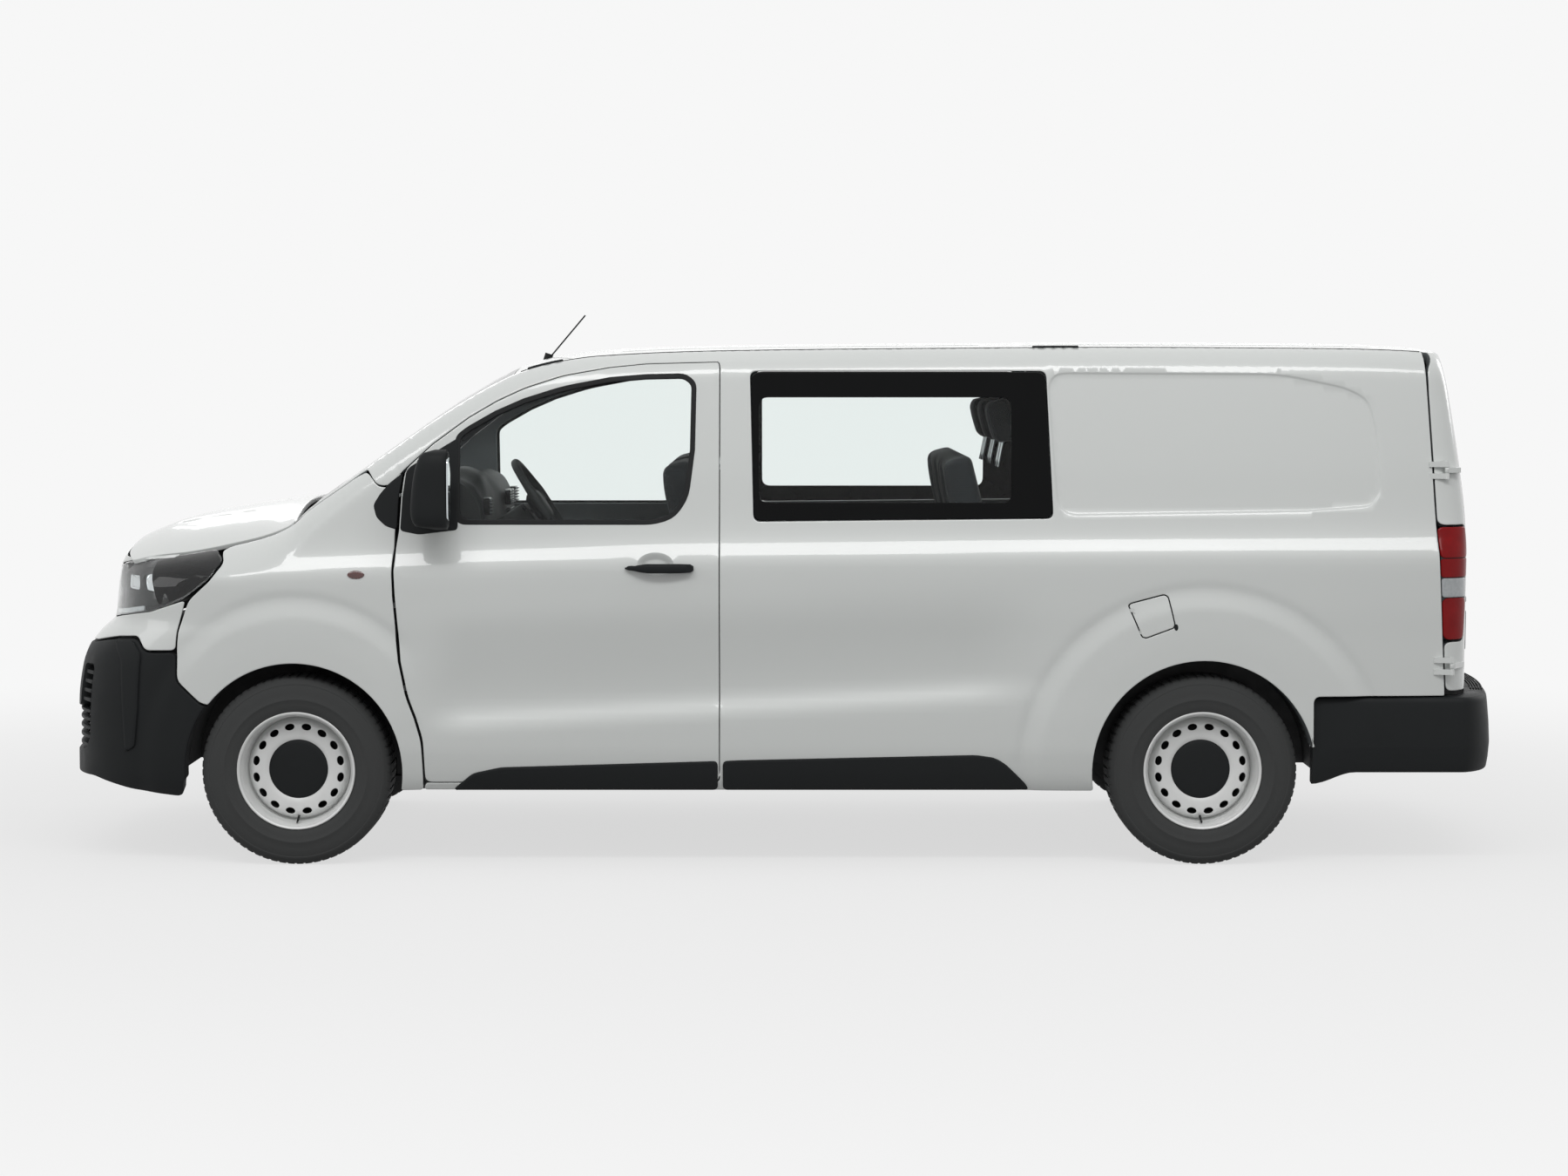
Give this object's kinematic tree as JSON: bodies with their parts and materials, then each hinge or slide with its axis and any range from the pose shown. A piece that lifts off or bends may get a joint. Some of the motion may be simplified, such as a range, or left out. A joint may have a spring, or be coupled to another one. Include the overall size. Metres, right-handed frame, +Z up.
{
  "type": "crew van",
  "caption": "Mid-size crew van with a glazed front half, a closed load space, hinged front and rear doors, and black bumpers.",
  "frame": {"origin": "on the ground, below the middle of the bounding box", "axes": "+X to the front, +Y to the left, +Z up"},
  "size_m": [5.3306, 2.204, 1.9999],
  "materials": {
    "paint": "gloss pale grey-white paint",
    "underbody_coat": "dull dark grey coating",
    "black_plastic": "grained black plastic",
    "trim_plastic": "grey interior plastic",
    "glass": "clear tinted glass",
    "lamp_clear": "clear lamp cover",
    "lamp_red": "red lamp cover",
    "seat_cloth": "dark woven cloth",
    "engine_metal": "rough casting",
    "chassis_steel": "dark steel",
    "wheel_steel": "silver paint",
    "tyre": "black rubber"
  },
  "bodies": {
    "body": {"left_side": "paint", "right_side": "paint", "front_wings": "paint", "roof": "paint", "underbody": "underbody_coat", "bulkhead": "trim_plastic", "windscreen": "glass", "front_bumper": "black_plastic", "rear_bumper": "black_plastic", "headlamps": "lamp_clear", "tail_lamps": "lamp_red", "scuttle_panel": "black_plastic", "sliding_door": "paint", "side_windows": "glass", "dashboard": "trim_plastic", "seats": "seat_cloth", "hinges": "chassis_steel", "engine": "engine_metal", "fuel_tank": "black_plastic", "rear_axle": "chassis_steel", "front_subframe": "chassis_steel", "aerial": "black_plastic"},
    "left_front_door": {"left_front_door": "paint", "left_door_glass": "glass", "left_mirror": "black_plastic"},
    "right_front_door": {"right_front_door": "paint", "right_door_glass": "glass", "right_mirror": "black_plastic"},
    "left_rear_door": {"left_rear_door": "paint", "left_rear_glass": "glass"},
    "right_rear_door": {"right_rear_door": "paint", "right_rear_glass": "glass"},
    "bonnet": {"bonnet": "paint"},
    "fuel_flap": {"fuel_flap": "paint"},
    "left_knuckle": {"left_knuckle": "chassis_steel"},
    "right_knuckle": {"right_knuckle": "chassis_steel"},
    "steering_wheel": {"steering_wheel": "black_plastic"},
    "left_front_wheel": {"left_front_tyre": "tyre", "left_front_rim": "wheel_steel"},
    "right_front_wheel": {"right_front_tyre": "tyre", "right_front_rim": "wheel_steel"},
    "left_rear_wheel": {"left_rear_tyre": "tyre", "left_rear_rim": "wheel_steel"},
    "right_rear_wheel": {"right_rear_tyre": "tyre", "right_rear_rim": "wheel_steel"}
  },
  "joints": [
    {"name": "left_front_door_hinge", "type": "hinge", "parent": "body", "child": "left_front_door", "pos_m": [1.416, 0.93, 0.75], "axis": [0, 0, -1], "range_deg": [0, 70]},
    {"name": "right_front_door_hinge", "type": "hinge", "parent": "body", "child": "right_front_door", "pos_m": [1.416, -0.93, 0.75], "axis": [0, 0, 1], "range_deg": [0, 70]},
    {"name": "left_rear_door_hinge", "type": "hinge", "parent": "body", "child": "left_rear_door", "pos_m": [-2.404, 0.936, 0.724], "axis": [-0.0141, 0.1186, -0.9928], "range_deg": [0, 180]},
    {"name": "right_rear_door_hinge", "type": "hinge", "parent": "body", "child": "right_rear_door", "pos_m": [-2.404, -0.936, 0.724], "axis": [0.0141, 0.1186, 0.9928], "range_deg": [0, 180]},
    {"name": "bonnet_hinge", "type": "hinge", "parent": "body", "child": "bonnet", "pos_m": [1.796, 0, 1.245], "axis": [0, -1, 0], "range_deg": [0, 55]},
    {"name": "fuel_flap_hinge", "type": "hinge", "parent": "body", "child": "fuel_flap", "pos_m": [-1.29, 0.95594, 0.838], "axis": [-0.3673, 0.1147, -0.923], "range_deg": [0, 85]},
    {"name": "left_steering", "type": "hinge", "parent": "body", "child": "left_knuckle", "pos_m": [1.763, 0.752, 0.343], "axis": [0, 0, 1], "range_deg": [-33, 33]},
    {"name": "right_steering", "type": "hinge", "parent": "body", "child": "right_knuckle", "pos_m": [1.763, -0.752, 0.343], "axis": [0, 0, 1], "range_deg": [-33, 33]},
    {"name": "steering_wheel_turn", "type": "hinge", "parent": "body", "child": "steering_wheel", "pos_m": [0.904, 0.4, 1.295], "axis": [0.8191, 0, -0.5736], "range_deg": [-500, 500]},
    {"name": "left_front_wheel_spin", "type": "hinge", "parent": "left_knuckle", "child": "left_front_wheel", "pos_m": [1.763, 0.8175, 0.343], "axis": [0, 1, 0], "continuous": true},
    {"name": "right_front_wheel_spin", "type": "hinge", "parent": "right_knuckle", "child": "right_front_wheel", "pos_m": [1.763, -0.8175, 0.343], "axis": [0, 1, 0], "continuous": true},
    {"name": "left_rear_wheel_spin", "type": "hinge", "parent": "body", "child": "left_rear_wheel", "pos_m": [-1.512, 0.8175, 0.343], "axis": [0, 1, 0], "continuous": true},
    {"name": "right_rear_wheel_spin", "type": "hinge", "parent": "body", "child": "right_rear_wheel", "pos_m": [-1.512, -0.8175, 0.343], "axis": [0, 1, 0], "continuous": true}
  ],
  "couplings": [
    {"joint": "right_steering", "follows": "left_steering", "ratio": 1},
    {"joint": "steering_wheel_turn", "follows": "left_steering", "ratio": -15}
  ]
}
